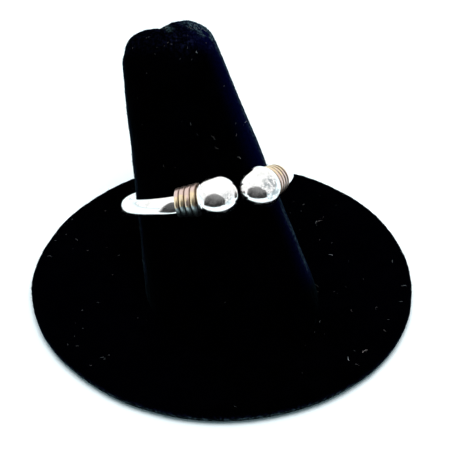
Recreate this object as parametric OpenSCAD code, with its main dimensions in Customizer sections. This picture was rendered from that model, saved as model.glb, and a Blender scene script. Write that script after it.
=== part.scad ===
// Open ring with two facing ball ends, worn on a velvet ring display stand.
// Millimetres, +Z up. The origin is the centre of the stand's underside, and the balls face -Y.

/* [Ring] */
// Inside diameter of the hoop
hoop_inside_d = 21.6; // [21.2:0.1:22.4]
// Diameter of the hoop's round wire
hoop_wire_d = 2.36; // [2.1:0.02:2.4]
// Diameter that the wire swells to at the balls
hoop_end_d = 2.76; // [2.5:0.02:2.8]
// Length of each straight end, from where the bend stops to the ball's centre
hoop_end_len = 6.4; // [6.4:0.1:7]
// Diameter of each ball
ball_d = 6; // [5.8:0.1:6]
// Clear distance between the two balls
ball_gap = 0.6; // [0.3:0.02:1]

/* [Wire wraps] */
// Diameter of the wrapping wire
wrap_wire_d = 0.76; // [0.5:0.01:0.78]
// Number of turns beside each ball
wrap_turns = 4; // [2:1:4]
// Step from one turn to the next
wrap_pitch = 0.84; // [0.83:0.01:0.85]
// Distance from a ball's centre to the first end of its wrap
wrap_start = 2.98; // [2.98:0.01:3.1]

/* [Ring on the stand] */
// Height of the ring's centre
ring_z = 13.9; // [13.85:0.01:13.95]
// Distance of the ring's centre behind the middle of the stand
ring_y = 6.99; // [6.95:0.01:7.03]
// Distance of the ring's centre to the right of the middle
ring_x = 0.38; // [0.36:0.01:0.5]
// Tilt of the ring's axis back from upright
ring_lean = 33.9; // [33.5:0.1:34.3]
// Turn of the ball ends to the right, about the ring's own axis
ring_turn = 2.5; // [0:0.1:4]

/* [Display finger] */
// Lean of the finger, back from upright
finger_lean = 40; // [39.8:0.1:40.2]
// Length of the finger along its axis
finger_len = 39.1; // [38.5:0.1:42]
// Width of the finger at its foot
finger_foot_w = 24.68; // [24.4:0.02:24.7]
// Width of the finger at its end, before the rounding
finger_end_w = 13.32; // [12:0.02:13.34]
// Depth of the finger's section, as a share of its width
finger_oval = 0.94; // [0.8:0.01:0.95]
// Height of the end's rounding at the sides
end_round_side = 3; // [2:0.1:4]
// Height of the end's rounding at the front and back
end_round_front = 4.2; // [2:0.1:5]
// Depth of the crease where the velvet is folded over the end
crease_depth = 0.35; // [0:0.05:0.8]
// Half-width of the crease
crease_w = 0.7; // [0.4:0.1:1.5]
// Distance of the crease to the left of the finger's axis
crease_x = 0.8; // [0:0.1:3]

/* [Display base] */
// Diameter of the round base
base_d = 57.2; // [52:0.1:60]
// Thickness of the base, with its velvet
base_t = 2.5; // [2.4:0.1:2.6]
// Rounding of the base's edge
base_edge_r = 1.2; // [0.5:0.05:1.2]

/* [Hidden] */

// Clear gap between pieces that rest on each other
seat_gap = 0.05;
$fn = 96;

// Radius to the middle of the wire where the hoop is bent
hoop_r = (hoop_inside_d + hoop_wire_d) / 2;
ball_x = (ball_d + ball_gap) / 2;
// Angle at the ring's centre from the middle of the opening to where the bend starts
bend_angle = asin(ball_x / norm([hoop_r, hoop_end_len])) + atan(hoop_end_len / hoop_r);
ball_y = -hoop_r * cos(bend_angle) - hoop_end_len * sin(bend_angle);
// The bent wire runs this much further into each straight end, which is slightly thicker there
lap_angle = 2;
lap_step = 0.02;
bend_from = bend_angle - lap_angle;

// Angle round the hoop's wire at which the wrap starts, from outward towards up
wrap_phase = -40;
// The last turn stops this much short, under the hoop
wrap_short = 54;
wrap_sides = 10;
wrap_stations = 24;

// How much the finger's half-width changes for each millimetre along its axis
finger_taper = (finger_end_w - finger_foot_w) / 2 / finger_len;
finger_foot_y = -1.89;
finger_sides = 48;
round_steps = 6;
end_rings = [0.8, 0.6, 0.4, 0.2];
base_edge_steps = 8;

silver = "#d9dbdc";
copper = "#b5714a";
velvet = "#0b0c14";

// Puts its children, drawn about the ring's own axis with the opening at -Y, on the display finger
module on_finger() {
    translate([ring_x, ring_y, ring_z])
        rotate([-ring_lean, 0, 0])
            rotate([0, 0, ring_turn])
                children();
}

// Puts its children, drawn up +Z from a ball's centre, along the right straight end of the hoop,
// with their +Y towards the inside of the ring and their +X down
module on_straight_end() {
    translate([ball_x, ball_y, 0])
        rotate([0, 0, bend_angle])
            rotate([0, 90, 0])
                children();
}

// Half of the ring's shape and its mirror image
module both_sides() {
    children();
    mirror([1, 0, 0])
        children();
}

// The round wire bent into an open hoop with straight, swelling ends, and a ball soldered on each
module hoop_with_balls() {
    color(silver)
        on_finger()
            union() {
                rotate([0, 0, bend_from - 90])
                    rotate_extrude(angle = 360 - 2 * bend_from)
                        translate([hoop_r, 0])
                            circle(d = hoop_wire_d);
                both_sides()
                    on_straight_end() {
                        cylinder(h = hoop_end_len, d1 = hoop_end_d, d2 = hoop_wire_d + 2 * lap_step);
                        sphere(d = ball_d);
                    }
            }
}

function unit(v) = v / norm(v);

// Point of the wrapping wire's centre line after `turn` degrees round the straight end
function wrap_centre(turn) =
    let (round = wrap_phase + turn,
         t = wrap_start + wrap_pitch * turn / 360,
         wire_d = hoop_end_d + (hoop_wire_d - hoop_end_d) * min(t / hoop_end_len, 1),
         r = wire_d / 2 + seat_gap + wrap_wire_d / 2)
    [-r * sin(round), -r * cos(round), t];

// One section of the wrapping wire, square to its run
function wrap_section(turn) =
    let (centre = wrap_centre(turn),
         along = unit(wrap_centre(turn + 1) - wrap_centre(turn - 1)),
         side = unit(cross(along, [centre[0], centre[1], 0])),
         outward = cross(side, along))
    [for (i = [0 : wrap_sides - 1])
        let (a = 360 * i / wrap_sides)
        centre + wrap_wire_d / 2 * (cos(a) * outward + sin(a) * side)];

// Closed skin over a stack of sections that have `sides` points each
module skin(sections, sides) {
    last = len(sections) - 1;
    points = [for (section = sections) each section];
    walls = [for (j = [0 : last - 1], i = [0 : sides - 1])
        let (k = (i + 1) % sides)
        each [[j * sides + i, (j + 1) * sides + i, (j + 1) * sides + k],
              [j * sides + i, (j + 1) * sides + k, j * sides + k]]];
    first_end = [[for (i = [0 : sides - 1]) i]];
    last_end = [[for (i = [sides - 1 : -1 : 0]) last * sides + i]];
    polyhedron(points, concat(walls, first_end, last_end), convexity = 8);
}

// Close-wound wire beside the right ball; the left one is its mirror image
module wire_wrap() {
    stations = wrap_turns * wrap_stations;
    sweep = 360 * wrap_turns - wrap_short;
    on_straight_end()
        skin([for (j = [0 : stations]) wrap_section(sweep * j / stations)], wrap_sides);
}

module right_wrap() {
    color(copper)
        on_finger()
            wire_wrap();
}

module left_wrap() {
    color(copper)
        on_finger()
            mirror([1, 0, 0])
                wire_wrap();
}

// Half-width of the finger at a distance along its axis
function finger_half(s) = finger_foot_w / 2 + finger_taper * s;

// Distance along the axis at which the side at angle `a` meets the base's top
function foot_s(a) =
    let (slope = tan(finger_lean) * finger_oval * sin(a))
    slope * finger_foot_w / 2 / (1 - slope * finger_taper);

// How far the crease lowers the velvet at a distance `x` from the finger's axis
function crease(x) = crease_depth * exp(-pow((x + crease_x) / crease_w, 2));

// Point of the finger's side or end: `up` runs from 0 where the rounding begins to 90 at the flat
// end, and `reach` from 1 at the flat end's edge to 0 at its middle
function finger_point(a, up, reach) =
    let (rise = end_round_side + (end_round_front - end_round_side) * abs(sin(a)),
         s = finger_len - rise * (1 - sin(up)),
         inset = end_round_side * (1 - cos(up)),
         half = finger_half(s) - inset,
         deep = finger_half(s) * finger_oval - inset,
         x = half * cos(a) * reach)
    [x, deep * sin(a) * reach, s - crease(x) * sin(up)];

function finger_foot(a) =
    let (s = foot_s(a))
    [finger_half(s) * cos(a), finger_half(s) * finger_oval * sin(a), s];

// Tapered finger of nearly round section, with its foot cut level and its end rounded over
module display_finger() {
    angles = [for (i = [0 : finger_sides - 1]) -360 * i / finger_sides];
    color(velvet)
        translate([0, finger_foot_y, base_t + seat_gap])
            rotate([-finger_lean, 0, 0])
                skin([
                    [for (a = angles) finger_foot(a)],
                    for (j = [0 : round_steps])
                        [for (a = angles) finger_point(a, 90 * j / round_steps, 1)],
                    for (reach = end_rings)
                        [for (a = angles) finger_point(a, 90, reach)]
                ], finger_sides);
}

// Quarter circle of the base's edge, from angle `from` on
function edge_arc(centre_z, from) =
    [for (j = [0 : base_edge_steps])
        let (a = from + 90 * j / base_edge_steps)
        [base_d / 2 - base_edge_r + base_edge_r * cos(a), centre_z + base_edge_r * sin(a)]];

// Round board covered in velvet, flat on both faces
module display_base() {
    color(velvet)
        rotate_extrude()
            polygon(concat(
                [[0, 0]],
                edge_arc(base_edge_r, -90),
                edge_arc(base_t - base_edge_r, 0),
                [[0, base_t]]
            ));
}

hoop_with_balls();
left_wrap();
right_wrap();
display_finger();
display_base();
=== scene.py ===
"""Double ball ring on a velvet ring display stand.

A silver wire is bent into an open hoop that ends in two facing balls, and copper wire is wound
beside each ball. The hoop is slipped over a velvet display finger that leans back from a round
velvet base. Metres, +Z up; the balls face -Y. Sizes are written in millimetres.
"""

import bpy
import numpy as np
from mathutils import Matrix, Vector


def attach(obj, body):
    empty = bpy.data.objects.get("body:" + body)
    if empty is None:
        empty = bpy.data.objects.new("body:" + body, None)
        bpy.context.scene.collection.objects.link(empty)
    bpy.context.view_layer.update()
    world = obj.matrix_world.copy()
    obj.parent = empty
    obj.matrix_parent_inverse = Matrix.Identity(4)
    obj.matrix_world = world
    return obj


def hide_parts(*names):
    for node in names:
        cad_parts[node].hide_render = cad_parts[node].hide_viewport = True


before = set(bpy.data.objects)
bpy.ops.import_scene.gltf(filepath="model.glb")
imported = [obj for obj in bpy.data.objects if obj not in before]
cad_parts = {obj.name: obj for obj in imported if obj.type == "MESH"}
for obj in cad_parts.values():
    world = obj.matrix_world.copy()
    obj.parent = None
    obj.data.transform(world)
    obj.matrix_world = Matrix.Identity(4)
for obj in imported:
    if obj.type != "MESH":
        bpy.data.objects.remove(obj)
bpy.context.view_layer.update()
MM = 0.001

# The studio. The stand is on white paper in a soft tent, with a large lamp overhead and a small one
# at the right. The tent is open towards the camera, and polished metal shows that side as a dark
# patch, which is a painted reflection of a glowing sheet.
camera_at = Vector((-64.339, -157.463, 151.628)) * MM
camera_aim = Vector((2.890, 5.937, 6.819)) * MM
camera_azimuth = np.arctan2(camera_at.x, -camera_at.y)
paper_half, paper_low = 3000.0, -0.02
tent_on_metal, tent_on_cloth = (1.15, 1.15, 1.15), (0.38, 0.55, 0.60)
opening_radius, opening_low, opening_high = 56.0, 38.0, 106.0
opening_left, opening_right = np.radians([-63.0, 44.5])
opening_dark, opening_pale = (0.034, 0.034, 0.034), (0.40, 0.40, 0.40)
opening_rows, opening_columns = 25, 61
sill_height, sill_rise, sill_least = 8.5, 7.0, 0.3
# Each lamp's name, place and width in metres, and power in watts
lamps = [("overhead_lamp", Vector((-0.015, -0.050, 0.55)), 0.46, 2.9),
         ("side_lamp", Vector((0.36, 0.26, 0.36)), 0.30, 0.6)]


def feed(tree, made, inputs):
    """Gives each of the shader node's `inputs`, by name or number, a value or a link from another
    node's output."""
    for key, value in inputs.items():
        if isinstance(value, bpy.types.NodeSocket):
            tree.links.new(value, made.inputs[key])
        else:
            made.inputs[key].default_value = value


def node(tree, kind, inputs={}, **settings):
    """A new shader node of that kind, with its settings and inputs."""
    made = tree.nodes.new("ShaderNode" + kind)
    for name, value in settings.items():
        setattr(made, name, value)
    feed(tree, made, inputs)
    return made


def new_material(name):
    """A new material, its node tree, its shader, and the point on the piece that is shaded."""
    made = bpy.data.materials.new(name)
    made.use_nodes = True
    tree = made.node_tree
    return made, tree, tree.nodes["Principled BSDF"], node(tree, "TexCoord").outputs["Object"]


def noise(tree, place, scale, detail, roughness=0.5):
    """Random value about 0.5 that changes over 1 / `scale` metres."""
    return node(tree, "TexNoise", {"Vector": place, "Scale": scale, "Detail": detail,
                                   "Roughness": roughness}).outputs[0]


def painted(tree, label):
    """The value that `paint` has stored on the piece's points."""
    return node(tree, "Attribute", attribute_name=label).outputs["Fac"]


def maths(tree, operation, first, second):
    """The result of that operation on two values."""
    return node(tree, "Math", {0: first, 1: second}, operation=operation).outputs[0]


def blend_colour(tree, share, first, second):
    """Colour that goes from `first` at share 0 to `second` at share 1. Each is red, green and blue,
    or another node's output."""
    first, second = [end + (1,) if isinstance(end, tuple) else end for end in (first, second)]
    return node(tree, "Mix", {0: share, 6: first, 7: second}, data_type="RGBA").outputs[2]


def ramp(tree, value, low, high, to_low=0.0, to_high=1.0):
    """`value` smoothly carried from `to_low` at `low` to `to_high` at `high`, and held beyond."""
    return node(tree, "MapRange", {0: value, 1: low, 2: high, 3: to_low, 4: to_high},
                interpolation_type="SMOOTHSTEP").outputs[0]


def mesh_piece(name, points, loops, counts, material):
    """A shaded-smooth mesh object. `points` are in millimetres, `loops` are the faces' corners one
    after another, and `counts` says how many corners each face has."""
    mesh = bpy.data.meshes.new(name)
    mesh.vertices.add(len(points))
    mesh.vertices.foreach_set("co", (np.asarray(points) * MM).ravel())
    mesh.loops.add(len(loops))
    mesh.loops.foreach_set("vertex_index", loops)
    mesh.polygons.add(len(counts))
    mesh.polygons.foreach_set("loop_start", np.cumsum(counts) - counts)
    mesh.polygons.foreach_set("use_smooth", np.ones(len(counts), bool))
    mesh.update(calc_edges=True)
    mesh.validate()
    mesh.materials.append(material)
    made = bpy.data.objects.new(name, mesh)
    bpy.context.scene.collection.objects.link(made)
    return made


def paint(piece, label, values, poles=()):
    """Stores a value on each of the piece's points, for its material. `poles` are those of a
    closed skin's two poles."""
    piece.data.attributes.new(label, "FLOAT", "POINT").data.foreach_set(
        "value", np.append(values, poles))


def fade(value, start, end):
    """0 where `value` is at `start` or not yet there, 1 from `end` on, and even between."""
    return np.clip((value - start) / (end - start), 0, 1)


def bell(value, middle, width):
    """1 where `value` is at `middle`, falling away as the Gauss curve over about `width`."""
    return np.exp(-((value - middle) / width) ** 2)


scene = bpy.context.scene
scene.view_settings.view_transform = "Standard"
camera = bpy.data.objects.new("camera", bpy.data.cameras.new("camera"))
camera.data.sensor_width, camera.data.lens = 36, 120
camera.data.clip_start, camera.data.clip_end = 0.01, 20
camera.location = camera_at
camera.rotation_euler = (camera_aim - camera_at).to_track_quat("-Z", "Y").to_euler()
scene.collection.objects.link(camera)
scene.camera = camera

paper_material, tree, shader, place = new_material("white_paper")
feed(tree, shader, {
    "Base Color": blend_colour(tree, noise(tree, place, 900.0, 3.0), (0.90, 0.91, 0.92),
                               (0.94, 0.95, 0.96)),
    "Roughness": 0.9})
paper = mesh_piece("paper", np.array([(-1, -1, 0), (1, -1, 0), (1, 1, 0), (-1, 1, 0)]) * paper_half
                   + np.array([0, 0, paper_low]), [0, 1, 2, 3], [4], paper_material)

# The tent's open side, a curved wall that only polished metal shows: a glowing sheet, no lamp, that
# gives a painted reflection, an arch that is dark near the table and paler towards the top. Its rim
# is blurred, over a fifth of its height and a tenth of its half-width, and its sill rises to the
# right.
opening_material, tree, shader, place = new_material("tent_opening_reflection")
tree.nodes.remove(shader)
height = node(tree, "SeparateXYZ", {0: place}).outputs[2]
mottled = maths(tree, "ADD", ramp(tree, height, 0.0, opening_high * MM),
                ramp(tree, noise(tree, place, 30.0, 3.0, 0.6), 0.35, 0.7, -0.15, 0.15))
glow = node(tree, "Emission", {0: blend_colour(
    tree, ramp(tree, painted(tree, "edge"), 0.0, 1.0), tent_on_metal,
    blend_colour(tree, mottled, opening_dark, opening_pale))})
tree.links.new(glow.outputs[0], tree.nodes["Material Output"].inputs[0])
turn, share = np.meshgrid(np.linspace(opening_left, opening_right, opening_columns),
                          np.linspace(0, 1, opening_rows))
middle = (opening_left + opening_right) / 2
across = (turn - middle) / (opening_right - middle)
arch = opening_low + (opening_high - opening_low) * (1 - across ** 2)
sill = np.maximum(sill_height + sill_rise * turn, sill_least)
wall = np.stack([opening_radius * np.sin(turn + camera_azimuth),
                 -opening_radius * np.cos(turn + camera_azimuth), sill + share * (arch - sill)], -1)
corner = np.arange(turn.size).reshape(turn.shape)
quads = np.stack([corner[:-1, :-1], corner[:-1, 1:], corner[1:, 1:], corner[1:, :-1]], -1)
opening = mesh_piece("tent_opening_reflection", wall.reshape(-1, 3), quads.ravel(),
                     np.full(quads.size // 4, 4), opening_material)
paint(opening, "edge", np.minimum(fade(share, 1, 0.8), fade(np.abs(across), 1, 0.9)))
opening.visible_camera = opening.visible_diffuse = opening.visible_shadow = False

world = bpy.data.worlds.new("tent")
world.use_nodes = True
scene.world = world
on_cloth = node(world.node_tree, "LightPath").outputs["Is Diffuse Ray"]
feed(world.node_tree, world.node_tree.nodes["Background"],
     {0: blend_colour(world.node_tree, on_cloth, tent_on_metal, tent_on_cloth)})

for name, at, size, power in lamps:
    lamp = bpy.data.objects.new(name, bpy.data.lights.new(name, "AREA"))
    lamp.data.shape, lamp.data.size, lamp.data.energy = "DISK", size, power
    lamp.location = at
    lamp.rotation_euler = (-at).to_track_quat("-Z", "Y").to_euler()
    lamp.visible_glossy = False
    scene.collection.objects.link(lamp)

# The display base. A round board is covered in black velvet that is rolled over its edge and glued
# under it. The pile is short and dense, and the hand-cut edge is not quite round. Its lower rim is
# painted pale, as painted light from the bright paper beside it.
base_radius = 28.6
base_top = 2.5
base_edge = 1.2
# Waves round the edge: how many, their height and their phase; the edge is also set in a little
base_wobble = [(1, 0.104, 5.74), (2, 0.081, 0.66), (3, 0.041, 3.79), (4, 0.054, 0.74),
               (5, 0.097, 4.73), (12, 0.028, 4.40), (13, 0.024, 2.03)]
base_inset = 0.125
nap_height, nap_size = 0.035, 0.9
swell_height, swell_size = 0.03, 6.0
# How pale painted light makes the lower rim, and how navy painted light makes the left and right
rim_painted_glow, side_lit = 0.75, 0.02
velvet_black, velvet_lit = (0.00005, 0.00005, 0.0001), (0.0002, 0.0002, 0.0004)
# Paler velvet colours, for painted light, painted sheen and ruffled pile
velvet_dim_light_and_ruffle, velvet_pale_light_and_wear = (0.010, 0.011, 0.038), (0.034, 0.056, 0.066)
# Navy of the painted lamp light
velvet_lit_navy = (0.0004, 0.0006, 0.0150)
base_sheen, tuft_sheen = (0.003, 0.006, 0.010), (0.003, 0.006, 0.015)
base_tufts, tuft_length = 15000, 0.32


def closed_skin(name, rings, start, end, material):
    """A profile carried round. Each row of `rings` is a closed ring of points, joined to the next
    row by quads, and the first and last rows are closed by fans to the poles `start` and `end`.
    The rings run anticlockwise as seen from `end`."""
    rows, columns = rings.shape[:2]
    points = np.concatenate([rings.reshape(-1, 3), [start, end]])
    at = np.arange(rows * columns).reshape(rows, columns)
    after = np.roll(at, -1, axis=1)
    quads = np.stack([at[:-1], after[:-1], after[1:], at[1:]], -1).reshape(-1, 4)
    first, last = rows * columns, rows * columns + 1
    bottom = np.stack([after[0], at[0], np.full(columns, first)], -1)
    top = np.stack([at[-1], after[-1], np.full(columns, last)], -1)
    loops = np.concatenate([quads.ravel(), bottom.ravel(), top.ravel()])
    counts = np.concatenate([np.full(len(quads), 4), np.full(2 * columns, 3)])
    return mesh_piece(name, points, loops, counts, material)


def ripples(points, size, seed, waves=28):
    """Smooth random height of about -1 to 1: the sum of plane waves about `size` long, which run
    in seeded directions, over the square root of twice their number."""
    chance = np.random.default_rng(seed)
    heading = chance.normal(size=(waves, 3))
    heading /= np.linalg.norm(heading, axis=1, keepdims=True)
    pace = 2 * np.pi / size * chance.uniform(0.6, 1.6, (waves, 1))
    phase = chance.uniform(0, 2 * np.pi, waves)
    return np.sin(points @ (heading * pace).T + phase).sum(-1) / np.sqrt(waves * 2)


def velvet_material(name, sheen, spread):
    """Black cut pile. Fine noise makes the tufts, and slower noise the patches where they lie
    another way; the sheen lights up at grazing angles. Where the "lit" value says so, the pile is
    painted navy, as painted light from the lamp. Where "brushed" says so, it is paler in streaks:
    painted sheen and painted light, and in places ruffled pile."""
    made, tree, shader, place = new_material(name)
    tufts = noise(tree, place, 4200.0, 4.0, 0.7)
    lay = noise(tree, place, 260.0, 3.0)
    streaks = noise(tree, place, 2400.0, 4.0, 0.7)
    painted_light_and_ruffle = painted(tree, "painted_light_and_ruffle")
    colour = blend_colour(tree, ramp(tree, maths(tree, "MULTIPLY", tufts, lay), 0.16, 0.42),
                          velvet_black, velvet_lit)
    # Painted light: navy where the "lit" value says so, in streaks
    turned = maths(tree, "MULTIPLY", painted(tree, "lit"),
                   ramp(tree, streaks, 0.35, 0.65, 0.5, 1.0))
    colour = blend_colour(tree, turned, colour, velvet_lit_navy)
    # Painted light and painted sheen, with ruffled pile in places: paler in streaks where the
    # second value says so
    light_and_ruffle_share = maths(tree, "MULTIPLY", painted_light_and_ruffle, ramp(tree, streaks, 0.46, 0.64, 0.05, 1.2))
    pale = blend_colour(tree, ramp(tree, painted_light_and_ruffle, 0.3, 0.6), velvet_dim_light_and_ruffle, velvet_pale_light_and_wear)
    nap = node(tree, "Bump", {"Height": tufts, "Strength": 0.35, "Distance": 0.00012})
    lean = node(tree, "Bump", {"Height": lay, "Strength": 0.35, "Distance": 0.0004,
                               "Normal": nap.outputs[0]})
    feed(tree, shader, {
        "Base Color": blend_colour(tree, light_and_ruffle_share, colour, pale), "Normal": lean.outputs[0],
        "Roughness": 1.0, "Specular IOR Level": 0.0, "Sheen Weight": 1.0,
        "Sheen Roughness": spread, "Sheen Tint": sheen + (1,)})
    return made


def pile(name, body, count, seed, material):
    """Loose tufts: slim three-sided spikes that stand on random points of `body`, spread by area,
    each leaning a little its own way. None stands underneath."""
    chance = np.random.default_rng(seed)
    mesh = body.data
    mesh.calc_loop_triangles()
    corners = np.empty(len(mesh.loop_triangles) * 3, np.int32)
    mesh.loop_triangles.foreach_get("vertices", corners)
    places = np.empty(len(mesh.vertices) * 3, np.float32)
    mesh.vertices.foreach_get("co", places)
    a, b, c = np.moveaxis(places.reshape(-1, 3)[corners.reshape(-1, 3)] / MM, 1, 0)
    square = np.cross(b - a, c - a)
    area = np.linalg.norm(square, axis=1)
    pick = chance.choice(len(area), count, p=area / area.sum())
    u, v = chance.uniform(0, 1, (2, count, 1))
    u, v = np.where(u + v > 1, 1 - u, u), np.where(u + v > 1, 1 - v, v)
    root = a[pick] + u * (b - a)[pick] + v * (c - a)[pick]
    normal = (square / area[:, None])[pick]
    keep = (normal[:, 2] > -0.6) & (root[:, 2] > 0.3)
    root, normal = root[keep], normal[keep]
    lean = normal + chance.normal(0, 0.35, root.shape)
    lean /= np.linalg.norm(lean, axis=1, keepdims=True)
    side = np.cross(lean, chance.normal(size=root.shape))
    side /= np.linalg.norm(side, axis=1, keepdims=True)
    other = np.cross(lean, side)
    tall = tuft_length * chance.uniform(0.5, 1.0, (len(root), 1))
    thick = tuft_length * 0.06
    foot = root - normal * 0.03
    points = np.stack([foot + side * thick,
                       foot - side * thick / 2 + other * thick * 0.87,
                       foot - side * thick / 2 - other * thick * 0.87,
                       root + lean * tall], 1)
    start = 4 * np.arange(len(root))[:, None]
    loops = start + np.array([0, 2, 1, 0, 1, 3, 1, 2, 3, 2, 0, 3])
    return mesh_piece(name, points.reshape(-1, 3), loops.ravel(), np.full(4 * len(root), 3),
                      material)


# The profile runs out along the underside, round the edge, and in along the top
flat_reach = base_radius - base_edge
arc = np.linspace(0, np.pi / 2, 9)
profile = np.concatenate([
    np.stack([np.linspace(2, flat_reach, 24), np.zeros(24)], 1),
    np.stack([flat_reach + base_edge * np.sin(arc), base_edge - base_edge * np.cos(arc)], 1)[1:],
    np.stack([flat_reach + base_edge * np.cos(arc),
              base_top - base_edge + base_edge * np.sin(arc)], 1),
    np.stack([np.linspace(flat_reach, 0.4, 96), np.full(96, base_top)], 1)[1:],
])
turn = np.linspace(0, 2 * np.pi, 500, endpoint=False)
wobble = sum(size * np.cos(times * turn + phase) for times, size, phase in base_wobble) - base_inset
reach = profile[:, :1] + wobble * (profile[:, :1] / base_radius) ** 4
rings = np.stack([reach * np.cos(turn), reach * np.sin(turn),
                  np.broadcast_to(profile[:, 1:], reach.shape)], -1)
# The nap stands outward at the edge and upward on the top, and fades towards the underside
nap = (nap_height * ripples(rings, nap_size, 11) + swell_height * ripples(rings, swell_size, 12))
outward = np.stack([np.cos(turn), np.sin(turn), 0 * turn], -1) * fade(
    profile[:, :1], base_radius - 2.6, base_radius)[..., None]
upward = np.array([0, 0, 1.0]) * fade(rings[..., 2:], base_top - base_edge, base_top)
rings = rings + nap[..., None] * fade(rings[..., 2:], 0, 0.6) * (outward + upward)
loose_tufts = velvet_material("loose_tufts", tuft_sheen, 0.3)
base = closed_skin("velvet_base", rings, (0, 0, 0), (0, 0, base_top),
                   velvet_material("base_velvet", base_sheen, 0.3))
# Painted light: the lower rim is made pale
paint(base, "painted_light_and_ruffle", rim_painted_glow * fade(rings[..., 2], 1.7, 1.0) ** 1.5, (0.0, 0.0))
# Painted light: the base's left and right are tinted a little navy
paint(base, "lit", side_lit * fade(np.abs(rings[..., 0]), 8, 18), (0.0, 0.0))
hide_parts("display_base")
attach(base, "root")
base_pile = pile("base_pile", base, base_tufts, 21, loose_tufts)
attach(base_pile, "root")

# The display finger. Velvet is wrapped round a tapered core that leans back 40 degrees and closed
# with a seam down the back; its end is folded down over the top and tucked into a crease.
finger_foot = np.array([0, -1.89, 2.46])
finger_lean = np.radians(40)
finger_length = 39.1
foot_half, end_half, finger_depth = 12.34, 6.66, 0.94
round_side, round_front = 3.0, 4.2
crease_x, crease_left, crease_right, crease_depth = -1.15, 0.45, 0.22, 0.36
flap_x, flap_height, flap_depth = -1.2, 35.2, 0.22
seam_x, seam_width, seam_depth = 0.3, 0.35, 0.25
right_padding, left_padding, left_pinch = 0.14, 0.12, 0.3
right_lobe, left_lobe = 0.3, 0.2
finger_sheen = (0.007, 0.014, 0.018)
finger_tufts = 12000
# How far the outlines that the camera sees lie round from the finger's right and left, in radians
right_outline, left_outline = 0.32, 0.23


def finger_skin(around, along):
    """Points of the finger's skin. `around` is the angle from its right side towards its back, and
    `along` runs from 0 at the level foot through 1, where the end's rounding begins, and 2, its
    flat top, to 3 in the middle. The section is an ellipse that tapers evenly with the height, and
    the rounding is a quarter of an ellipse."""
    taper = (end_half - foot_half) / finger_length
    sine = np.sin(around)
    slope = np.tan(finger_lean) * finger_depth * sine
    foot = slope * foot_half / (1 - slope * taper)
    rounding = round_side + (round_front - round_side) * np.abs(sine)
    side_share, round_share = np.clip(along, 0, 1), np.clip(along - 1, 0, 1)
    end_share = np.clip(along - 2, 0, 1)
    quarter = round_share * np.pi / 2
    height = (foot + (finger_length - rounding - foot) * side_share
              + rounding * np.sin(quarter))
    half = foot_half + taper * height
    inset = round_side * (1 - np.cos(quarter))
    x = (half - inset) * np.cos(around) * (1 - end_share)
    back = (half * finger_depth - inset) * sine * (1 - end_share)
    return np.stack([x, back, height], -1)


def on_stand(points):
    """Points drawn up the finger's own axis, leant back about X and moved to its foot."""
    x, back, height = np.moveaxis(points, -1, 0)
    sine, cosine = np.sin(finger_lean), np.cos(finger_lean)
    return np.stack([x, back * cosine + height * sine,
                     height * cosine - back * sine], -1) + finger_foot


around = np.linspace(0, 2 * np.pi, 300, endpoint=False)
along = np.concatenate([[0, 0.002], np.linspace(0.01, 1, 129, endpoint=False),
                        np.linspace(1, 2, 44, endpoint=False), np.linspace(2, 2.97, 26)])
around, along = np.meshgrid(around, along)
flat = finger_skin(around, along)
near = finger_skin(around + 0.01, along) - finger_skin(around - 0.01, along)
rise = finger_skin(around, along + 0.005) - finger_skin(around, along - 0.005)
normal = np.cross(near, rise)
normal /= np.linalg.norm(normal, axis=-1, keepdims=True) + 1e-12
bump = 0.03 * ripples(flat, 0.9, 31) + 0.07 * ripples(flat, 7.0, 32)
x, back, height = np.moveaxis(flat, -1, 0)
# The crease over the end, which bends a little at the front, the flap's hem below it, and the seam
crease_line = crease_x + 0.5 * fade(back, -6, -7)
crease = bell(x, crease_line, np.where(x < crease_line, crease_left, crease_right)) * fade(
    along, 1, 1.4)
flap = bell(height - 0.02 * x ** 2, flap_height, 0.28) * (back < 0) * bell(x, flap_x, 2.2)
seam = bell(x, seam_x, seam_width) * (back > 0) * (along < 1.6)
bump = bump - crease_depth * crease - flap_depth * flap - seam_depth * seam
# The velvet is fuller along the right side, pinched in round the left shoulder and full below it
right, left = np.clip(np.cos(around), 0, 1), np.clip(-np.cos(around), 0, 1)
bump = bump + right_padding * right * np.clip(along, 0, 0.5) * (along < 1)
bump = bump - left_pinch * left * bell(along, 1.22, 0.25) + left_padding * left * bell(
    height, 31, 4.5)
# The end stands up in a lobe on each side of the crease
lobes = (right_lobe * fade(x, 0.1, 0.45) * fade(x, 4.9, 3.3)
         + left_lobe * fade(x, -6.9, -5.5) * fade(x, -2, -3.2))
flat[..., 2] += lobes * np.clip(along - 1, 0, 1)
# Painted light: the right side and right round the end are painted navy, as if lit by the lamp at
# the right
facing = np.cos(around + right_outline)
lit_from = 0.64 + 0.16 * fade(along, 0.55, 0.35) - 0.34 * fade(along, 0.96, 1.02)
lit = np.clip(1.6 * fade(facing, lit_from, 1.06) ** 2, 0, 1) * fade(
    along - 0.17 * np.sqrt(np.maximum(1 - facing ** 2, 0)), 0, 0.08)
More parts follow.
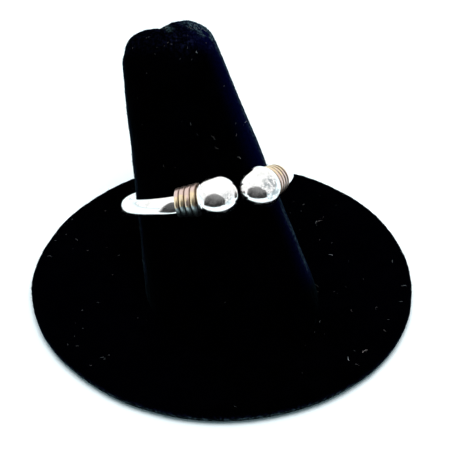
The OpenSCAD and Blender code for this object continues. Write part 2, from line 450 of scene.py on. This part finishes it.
# Painted sheen makes it pale along both outlines that the camera sees, and painted highlights make
# it pale on the end's right corner, on the ridge beside the crease and a little over the end's top;
# it is also paler in blotches on the end's front
sheen_from = np.interp(along, [0.4, 0.5, 1.05, 1.2], [0.93, 0.915, 0.915, 0.89])
right_painted_sheen = ((0.65 + 1.2 * fade(along, 1.12, 1.27)) * fade(facing, sheen_from, 0.98) ** 1.5
              * fade(np.sin(around + right_outline), 0.07, -0.03))
left_painted_sheen = (0.5 * fade(-np.cos(around + left_outline), 0.96, 0.99)
             * fade(np.sin(around + left_outline), 0.07, -0.03))
blotch = np.clip(0.9 + 0.8 * ripples(flat, 1.6, 33), 0.1, 1.6)
corner_from = 3.4 - 2.0 * fade(along, 1.1, 1.45)
corner = (0.7 * blotch * fade(along, 0.93, 1.07) * fade(x, corner_from, corner_from + 1.8)
          * fade(back, 3, 0))
ridge = bell(x, -0.6, 0.4) * fade(along, 1.45, 1.65) * (back < 0)
front = 0.21 * blotch * fade(along, 0.95, 1.05) * bell(x, 1.0, 2.6) * (back < 0)
painted_light_and_ruffle = ((right_painted_sheen + left_painted_sheen) * fade(along, 0.06, 0.12) + corner + ridge + front
           + 0.1 * fade(along, 1.0, 1.3))
skin = on_stand(flat + normal * bump[..., None])
finger = closed_skin("velvet_finger", skin, on_stand(np.array([0, 0, 0.0])),
                     on_stand(np.array([0, 0, finger_length - 0.1])),
                     velvet_material("finger_velvet", finger_sheen, 0.25))
paint(finger, "painted_light_and_ruffle", np.clip(painted_light_and_ruffle, 0, 2.5), (0.0, 0.1))
paint(finger, "lit", lit, (0.0, 0.1))
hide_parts("display_finger")
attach(finger, "root")
finger_pile = pile("finger_pile", finger, finger_tufts, 22, loose_tufts)
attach(finger_pile, "root")

# The ring's hoop. Round silver wire, bent to a finger size and left open, swells towards its ends,
# where a polished ball is soldered on each. The whole is buffed bright and has been worn.
ring_centre = np.array([0.38, 6.99, 13.9])
ring_lean, ring_turn = np.radians([-33.9, 2.5])
hoop_radius = 11.98
ball_radius = 3.09
ball_centre = np.array([3.3, -13.18])
end_length = 6.4
bend_start = np.radians(42.17)
wire_at_ball, wire_at_bend, wire_at_back = 1.79, 1.19, 1.10
solder_fillet = 0.45
spring_from = -2.0
right_sag, right_squeeze, left_sag, left_spread = 0.39, 0.24, 0.09, 0.17
belly, belly_edge = 0.25, 0.12
# Centre of the ball, where it was struck, the cosine that bounds the mark, and the mark's depth
knocks = [((3.3, -13.18, 0), (0.36, -0.78, 0.51), 0.76, 0.014),
          ((-3.3, -13.18, 0), (0.22, -0.85, 0.47), 0.90, 0.016)]
silver_clean, silver_dull, silver_bruised = (0.955, 0.955, 0.945), (0.80, 0.81, 0.79), (
    0.36, 0.39, 0.40)
mirrored = np.array([-1, 1, 1])


def on_finger(points):
    """Points drawn about the ring's own axis, with the opening towards -Y, turned about that axis,
    leant back about X and moved to where the ring hangs. The ends are sprung out of line: both
    sink and move to the left with the square of the distance ahead of `spring_from`."""
    x, y, z = np.moveaxis(points, -1, 0)
    sprung = np.clip((y - spring_from) / (ball_centre[1] - spring_from), 0, 2) ** 2
    x, z = (x - np.where(x > 0, right_squeeze, left_spread) * sprung,
            z - np.where(x > 0, right_sag, left_sag) * sprung)
    x, y = (x * np.cos(ring_turn) - y * np.sin(ring_turn),
            x * np.sin(ring_turn) + y * np.cos(ring_turn))
    y, z = (y * np.cos(ring_lean) - z * np.sin(ring_lean),
            y * np.sin(ring_lean) + z * np.cos(ring_lean))
    return np.stack([x, y, z], -1) + ring_centre


def wire_radius(run):
    """The wire's radius at a run from the ball's centre: it tapers evenly along the straight end,
    and then more slowly along the bend."""
    straight = wire_at_ball + (wire_at_bend - wire_at_ball) * np.clip(run / end_length, 0, 1)
    return straight + (wire_at_back - wire_at_bend) * (1 - np.exp(
        -np.maximum(run - end_length, 0) / 5))


def half_hoop(run):
    """Middle of the wire and its heading at each run from the right ball's centre: straight up to
    the bend, then round the ring's centre."""
    straight = np.array([np.cos(bend_start), np.sin(bend_start)])
    angle = bend_start - np.pi / 2 + np.maximum(run - end_length, 0) / hoop_radius
    round_middle = hoop_radius * np.stack([np.cos(angle), np.sin(angle)], -1)
    round_heading = np.stack([-np.sin(angle), np.cos(angle)], -1)
    bent = (run > end_length)[:, None]
    middle = np.where(bent, round_middle, ball_centre + run[:, None] * straight)
    return middle, np.where(bent, round_heading, straight)


# The runs go round the ball from its free side, then along the straight end and the bend
polar = np.linspace(0.035, np.pi - 0.47, 84)
run = np.concatenate([-ball_radius * np.cos(polar), np.linspace(2.72, end_length, 26)[:-1],
                      end_length + hoop_radius * np.linspace(0, np.pi - bend_start, 130)])
middle, heading = half_hoop(run)
ball = np.sqrt(np.maximum(ball_radius ** 2 - run ** 2, 0))
wire = wire_radius(run) * (run > 0)
# The larger of the two, with a fillet of solder where they are alike
radius = (ball + wire + np.sqrt((ball - wire) ** 2 + solder_fillet ** 2 * (run > 1.5))) / 2
theta = np.linspace(0, 2 * np.pi, 96, endpoint=False)
inward = np.stack([-heading[:, 1], heading[:, 0]], -1)
# Past the wraps, the outward half of the wire is flattened below, and squared where it begins
low_slung = (1 + belly) * np.sin(theta) - belly
low_slung = (low_slung - 1 + np.hypot(low_slung + 1, belly_edge)) / 2
low_slung = np.where(np.cos(theta) < 0, low_slung, np.sin(theta))
formed = fade(run, 5.7, 6.3)[:, None]
squared = (np.abs(np.cos(theta)) ** 3 + np.abs(np.sin(theta)) ** 3) ** (-1 / 3) - 1
flat_front = 1 + formed * bell(np.maximum(run, 6.6), 6.6, 2.4)[:, None] * squared * (
    np.cos(theta) < 0)
spread = (radius[:, None] * flat_front)[..., None] * np.stack([
    np.cos(theta) * inward[:, :1], np.cos(theta) * inward[:, 1:],
    np.sin(theta) + formed * (low_slung - np.sin(theta))], -1)
right_half = spread + np.append(middle, np.zeros((len(run), 1)), 1)[:, None]
rings = np.concatenate([right_half, right_half[-2::-1] * mirrored])
pole = np.append(ball_centre - ball_radius * heading[0], 0)
# Hammering and wear have left the metal a little uneven
rings = rings + 0.012 * ripples(rings, 5.0, 41)[..., None] * np.concatenate(
    [spread, spread[-2::-1] * mirrored]) / 3
rings = on_finger(rings)
worn_spots = np.zeros(rings.shape[:2])
for struck_ball, blow, bound, depth in knocks:
    away = (rings - on_finger(np.array(struck_ball))) / ball_radius
    struck = fade(away @ np.array(blow), bound, bound + 0.12) * (
        np.linalg.norm(away, axis=-1) < 1.1)
    rings = rings + (depth * struck * ripples(rings, 1.1, 42))[..., None] * away
    worn_spots += struck

silver, tree, shader, place = new_material("polished_silver")
smudge = noise(tree, place, 700.0, 5.0, 0.6)
stretched = node(tree, "Mapping", {"Vector": place, "Rotation": (0.4, 0.9, 0.3),
                                   "Scale": (400.0, 5200.0, 5200.0)}).outputs[0]
scratch = noise(tree, stretched, 1.0, 3.0)
buffed = blend_colour(tree, ramp(tree, smudge, 0.52, 0.72), silver_clean, silver_dull)
bruise = maths(tree, "MULTIPLY", painted(tree, "worn"),
               ramp(tree, noise(tree, place, 1700.0, 5.0, 0.65), 0.38, 0.60))
fine = node(tree, "Bump", {"Height": ramp(tree, scratch, 0.6, 0.7), "Strength": 0.12,
                           "Distance": 0.00002})
feed(tree, shader, {
    "Base Color": blend_colour(tree, bruise, buffed, silver_bruised), "Metallic": 1.0,
    "Roughness": ramp(tree, smudge, 0.3, 0.75, 0.05, 0.2), "Normal": fine.outputs[0]})
hoop = closed_skin("silver_hoop", rings, on_finger(pole), on_finger(pole * mirrored), silver)
paint(hoop, "worn", worn_spots, (0.0, 0.0))
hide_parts("hoop_with_balls")
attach(hoop, "root")

# The wraps. Soft copper wire is wound four times round each end of the hoop, close beside the ball,
# and its cut ends are tucked under. Tarnish has settled between the turns, and painted shade
# darkens their underside.
wrap_turns = np.radians([0, 360, 720, 1080, 1440])
wrap_runs = np.array([2.73, 3.62, 4.55, 5.44, 6.22])
wrap_half_widths = np.array([0.46, 0.46, 0.46, 0.42, 0.33])
wrap_phase, wrap_lean = np.radians(180), 0.2
wrap_high, wrap_slack, wrap_square = 0.42, 0.05, 2.6
wrap_sides, wrap_stations = 24, 400
# Yellow and rosy are the copper's own; grey and slate are painted reflection on the lower side, and
# black is deep tarnish and painted shade
copper_yellow, copper_rosy, copper_grey = (0.87, 0.70, 0.45), (0.74, 0.57, 0.51), (0.52, 0.60, 0.60)
copper_brown, copper_slate = (0.15, 0.10, 0.07), (0.10, 0.13, 0.13)
copper_black = (0.035, 0.04, 0.045)
# Name, mirroring, distance farther from the ball, dullness of the far flank at the start of each
# turn, how much painted shade darkens the underside, and the height below which it is painted
wraps = [("right", 1, 0.08, [0.8, 1.6, 2.0, 3.0, 3.4], 1.4, 0.35),
         ("left", -1, 0.0, [1.2, 1.2, 1.2, 1.2, 1.2], 2.4, 0.05)]


def wound_wire(farther, flank):
    """Helix about the right straight end. The wire's middle goes round the hoop's wire, clear of it
    by a hair, and the outward side of each turn leans towards the ball, by a smoothed ramp. Each
    section, square to its run, is between an ellipse and a rectangle. The side that meets the ball
    is pressed to its shape. Also gives how bare of tarnish each point is, and each station's
    height, from -1 under the hoop to 1 on top."""
    def middle(turned):
        run = np.interp(turned, wrap_turns, wrap_runs, left=wrap_runs[0]) + farther
        away = wire_radius(run) + wrap_slack + wrap_high
        outward = np.cos(wrap_phase - turned)
        run = run - wrap_lean * away * (outward + np.sqrt(outward ** 2 + 0.04)) / 2
        return np.stack([run, -away * outward, away * np.sin(wrap_phase - turned)], -1)
    turned = np.linspace(0, wrap_turns[-1], wrap_stations)
    centre = middle(turned)
    along = middle(turned + 0.01) - middle(turned - 0.01)
    along /= np.linalg.norm(along, axis=1, keepdims=True)
    out = centre * np.array([0, 1, 1])
    side = np.cross(along, out)
    side /= np.linalg.norm(side, axis=1, keepdims=True)
    out = np.cross(side, along)
    angle = np.linspace(0, 2 * np.pi, wrap_sides, endpoint=False)[:, None]
    size = (np.abs(np.cos(angle)) ** wrap_square + np.abs(np.sin(angle)) ** wrap_square) ** (
        -1 / wrap_square)
    wide = np.interp(turned, wrap_turns, wrap_half_widths)[:, None, None]
    section = size * (wrap_high * np.cos(angle) * out[:, None]
                      + wide * np.sin(angle) * side[:, None])
    run, inward, up = np.moveaxis(centre[:, None] + section, -1, 0)
    run = np.maximum(run, np.sqrt(np.maximum((ball_radius + 0.03) ** 2 - inward ** 2 - up ** 2, 0)))
    cosine, sine = np.cos(bend_start), np.sin(bend_start)
    placed = np.stack([ball_centre[0] + run * cosine - inward * sine,
                       ball_centre[1] + run * sine + inward * cosine, up], -1)
    bare = np.cos(angle[:, 0]) - np.interp(
        turned, wrap_turns, flank)[:, None] * np.clip(np.sin(angle[:, 0]), 0, 1)
    return placed, bare, np.sin(wrap_phase - turned)[:, None]


# The "rubbed" value goes from dark at -1 to bare metal at 1: tarnish between the turns, and
# painted shade under the hoop. "rosy" goes from grey at -1 through yellow to rosy at 1, and follows
# the height round the hoop as painted reflection
copper, tree, shader, place = new_material("copper_wire")
stain = noise(tree, place, 1400.0, 4.0)
tone = maths(tree, "ADD", painted(tree, "rosy"), ramp(tree, stain, 0.3, 0.7, -0.5, 0.5))
worn = maths(tree, "ADD", painted(tree, "tarnish_and_shade"), ramp(tree, stain, 0.3, 0.7, -0.15, 0.15))
# Painted reflection: grey-blue where the tone is low, on the lower side
cool = ramp(tree, tone, -0.4, -1.1)
warm = blend_colour(tree, ramp(tree, tone, 0.2, 0.9), copper_yellow, copper_rosy)
clean = blend_colour(tree, cool, warm, copper_grey)
dull = blend_colour(tree, ramp(tree, worn, -1.5, -0.9), copper_black,
                    blend_colour(tree, cool, copper_brown, copper_slate))
feed(tree, shader, {
    "Base Color": blend_colour(tree, ramp(tree, worn, -0.5, 0.4), dull, clean), "Metallic": 1.0,
    "Roughness": ramp(tree, worn, -0.3, 0.6, 0.4, 0.3)})
for name, flip, farther, flank, underside_shade, underside_shade_from in wraps:
    points, bare, height = wound_wire(farther, flank)
    points = on_finger(points * np.array([flip, 1, 1]))
    # Painted shade: the underside is darkened below the given height
    rub_and_shade = bare + underside_shade * np.clip(height - underside_shade_from, -1.1, 0)
    if flip > 0:
        # Painted reflection: yellow on top, rosy below
        rosiness = np.clip(1.6 * (0.85 - height), 0, 1.2)
    else:
        # Painted reflection: rosy on top, grey below; and rosier on its second and fourth turns
        turns_done = np.linspace(0, 4, wrap_stations)[:, None]
        swing = np.interp(turns_done, [0.3, 0.7, 1.3, 1.7, 2.3, 2.7, 3.3],
                          [-0.1, -0.1, 0.5, 0.5, -0.1, -0.1, 0.3]) * (height > -0.2)
        rosiness = (np.clip(5 * (height - 0.5), -0.1, 1.2) + swing
                    - 6 * np.clip(-0.1 - height, 0, 0.4))
        points, rub_and_shade = points[:, ::-1], rub_and_shade[:, ::-1]
    wrap = closed_skin(name + "_copper_wrap", points, points[0].mean(0), points[-1].mean(0),
                       copper)
    paint(wrap, "tarnish_and_shade", rub_and_shade, (0.0, 0.0))
    paint(wrap, "rosy", np.broadcast_to(rosiness, rub_and_shade.shape), (0.0, 0.0))
    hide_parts(name + "_wrap")
    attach(wrap, "root")

# The lint. Short pale cotton fibres cling to the velvet, most of them near the base's sides and on
# the finger's end. The larger ones are in the tables, and the rest are scattered.
lint_pale, lint_pink = (0.95, 0.95, 0.98), (0.85, 0.70, 0.68)
base_crumbs, finger_crumbs = 90, 60
fibre_radius, fibre_rings, fibre_sides = 0.016, 9, 3
# X, Y, length, and shade from 0 for black to 1 for the palest
strands = np.array([
    (9.7, -23.5, 0.9, 1.0), (12.5, -23.1, 1.1, 1.0), (17.1, -2.1, 0.8, 0.9),
    (25.2, -7.0, 0.7, 0.55), (18.8, 5.4, 1.7, 0.4), (-4.2, -4.4, 0.8, 0.3),
    (24.1, -12.7, 0.9, 0.35), (-17.8, 16.1, 0.7, 0.28), (-22.5, -10.1, 0.7, 0.25),
    (-13.0, 10.1, 0.5, 0.22), (17.2, -20.2, 0.6, 0.22), (22.1, -15.6, 0.6, 0.22),
    (-22.9, 13.8, 0.9, 0.18), (10.2, -25.1, 0.7, 0.16), (11.9, -7.7, 1.2, 0.16),
    (11.5, -6.6, 1.1, 0.16), (-10.0, 7.6, 0.6, 0.15), (18.2, -15.6, 0.6, 0.15),
    (-15.0, -4.1, 0.5, 0.1), (-19.3, 1.2, 0.5, 0.1), (-16.9, 21.1, 0.5, 0.2),
    (-25.0, -6.4, 0.5, 0.15)])
# Degrees round from the finger's right side towards its front, `along` as in finger_skin, length
# and shade
finger_strands = np.array([
    (102, 0.760, 0.4, 0.15), (86, 0.702, 0.9, 0.2), (85, 0.671, 0.7, 0.15), (67, 0.612, 0.6, 0.6),
    (61, 0.683, 0.5, 0.2), (52, 0.843, 0.4, 0.12), (135, 0.621, 0.5, 0.08), (37, 0.693, 0.8, 0.5),
    (109, 1.15, 0.2, 0.2), (104, 1.20, 0.25, 0.2), (94, 1.22, 0.2, 0.15), (84, 1.0, 0.3, 0.2),
    (73, 0.98, 0.6, 0.6), (55, 1.0, 0.3, 0.2), (118, 1.15, 0.2, 0.15), (153, 1.26, 0.25, 0.15),
    (83, 0.96, 0.2, 0.12), (95, 0.97, 0.25, 0.12), (122, 1.01, 0.25, 0.12), (100, 1.16, 0.25, 0.25),
    (132, 1.47, 0.2, 0.15), (66, 1.5, 0.4, 0.25), (60, 1.45, 0.5, 0.25), (55, 1.42, 0.4, 0.25),
    (50, 1.4, 0.5, 0.3), (47, 1.35, 0.4, 0.25), (43, 1.3, 0.5, 0.25), (52, 1.55, 0.3, 0.2),
    (58, 1.6, 0.3, 0.2), (100, 1.66, 0.5, 0.25)])


def lint(name, places, normals, lengths, shades, seed, material):
    """Curved fibres: each lies along the velvet in its own direction, bows sideways as a parabola
    and has a three-sided section that closes at both ends."""
    chance = np.random.default_rng(seed)
    count = len(places)
    run = np.cross(normals, chance.normal(size=(count, 3)))
    run /= np.linalg.norm(run, axis=1, keepdims=True)
    side = np.cross(normals, run)
    share = np.linspace(-1, 1, fibre_rings)[:, None]
    bow = chance.normal(0, 0.5, (count, 1, 1))
    lengths = np.asarray(lengths)[:, None, None]
    middle = (places[:, None] + lengths / 2 * (share * run[:, None]
              + bow * (1 - share ** 2) * side[:, None])
              + normals[:, None] * (0.05 + 0.05 * (1 - share ** 2)))
    angle = np.radians([0, 120, 240])[:, None]
    ring = np.cos(angle) * normals[:, None, None] + np.sin(angle) * side[:, None, None]
    thick = fibre_radius * np.sqrt(1.02 - share ** 2)[None, :, :, None]
    points = middle[:, :, None] + thick * ring
    at = np.arange(points.size // 3).reshape(count, fibre_rings, fibre_sides)
    after = np.roll(at, -1, axis=2)
    quads = np.stack([at[:, :-1], at[:, 1:], after[:, 1:], after[:, :-1]], -1).reshape(-1, 4)
    ends = np.concatenate([at[:, 0], at[:, -1, ::-1]])
    loops = np.concatenate([quads.ravel(), ends.ravel()])
    counts = np.concatenate([np.full(len(quads), 4), np.full(len(ends), 3)])
    made = mesh_piece(name, points.reshape(-1, 3), loops, counts, material)
    paint(made, "shade", np.repeat(shades, fibre_rings * fibre_sides))
    return made


cotton, tree, shader, place = new_material("cotton_lint")
pale = blend_colour(tree, ramp(tree, noise(tree, place, 300.0, 2.0), 0.4, 0.6), lint_pale,
                    lint_pink)
feed(tree, shader, {"Base Color": blend_colour(tree, painted(tree, "shade"), (0, 0, 0), pale),
                    "Roughness": 0.9})
chance = np.random.default_rng(51)
reach = 27.5 * np.sqrt(chance.uniform(0.05, 1, base_crumbs))
turn = chance.uniform(0, 2 * np.pi, base_crumbs)
spots = np.concatenate([strands[:, :2], np.stack([reach * np.cos(turn), reach * np.sin(turn)], 1)])
spots = np.column_stack([spots, np.full(len(spots), base_top)])
lengths = np.concatenate([strands[:, 2], chance.uniform(0.12, 0.4, base_crumbs)])
shades = np.concatenate([strands[:, 3], chance.uniform(0.04, 0.35, base_crumbs)])
base_lint = lint("base_lint", spots, np.tile([0, 0, 1.0], (len(spots), 1)), lengths, shades, 52,
                 cotton)
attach(base_lint, "root")
turn = np.concatenate([-np.radians(finger_strands[:, 0]),
                       chance.uniform(-np.pi, np.pi, finger_crumbs)])
share = np.concatenate([finger_strands[:, 1], chance.uniform(0.05, 1.9, finger_crumbs)])
spots, nearby = finger_skin(turn, share), finger_skin(turn + 0.02, share)
higher = finger_skin(turn, share + 0.01)
normals = np.cross(nearby - spots, higher - spots)
normals /= np.linalg.norm(normals, axis=1, keepdims=True)
lengths = np.concatenate([finger_strands[:, 2], chance.uniform(0.12, 0.4, finger_crumbs)])
shades = np.concatenate([finger_strands[:, 3], chance.uniform(0.02, 0.15, finger_crumbs)])
finger_lint = lint("finger_lint", on_stand(spots), on_stand(normals) - finger_foot, lengths,
                   shades, 53, cotton)
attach(finger_lint, "root")
